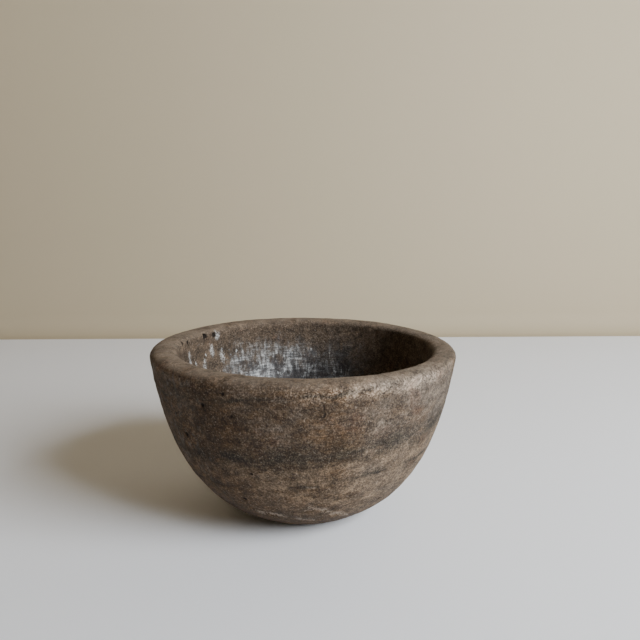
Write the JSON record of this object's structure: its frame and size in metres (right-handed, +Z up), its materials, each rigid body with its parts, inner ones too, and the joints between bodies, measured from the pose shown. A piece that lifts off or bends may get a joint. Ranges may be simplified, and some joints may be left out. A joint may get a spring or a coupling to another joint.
{
  "type": "bowl",
  "caption": "Deep round bowl with a thick wall, a broad, nearly flat lip, an open hollow and a small flat foot.",
  "frame": {"origin": "middle of the flat foot, on the surface that the bowl stands on", "axes": "+Z up, out of the mouth; -Y towards the front; +X to the right, the side where the wall is thinner"},
  "size_m": [0.18, 0.18, 0.1],
  "materials": {
    "stone": "matt, granular weathered stone, grey-brown with darker tilted layers, worn paler on the lip and smoother inside"
  },
  "bodies": {
    "root": {"bowl": "stone"}
  },
  "joints": []
}
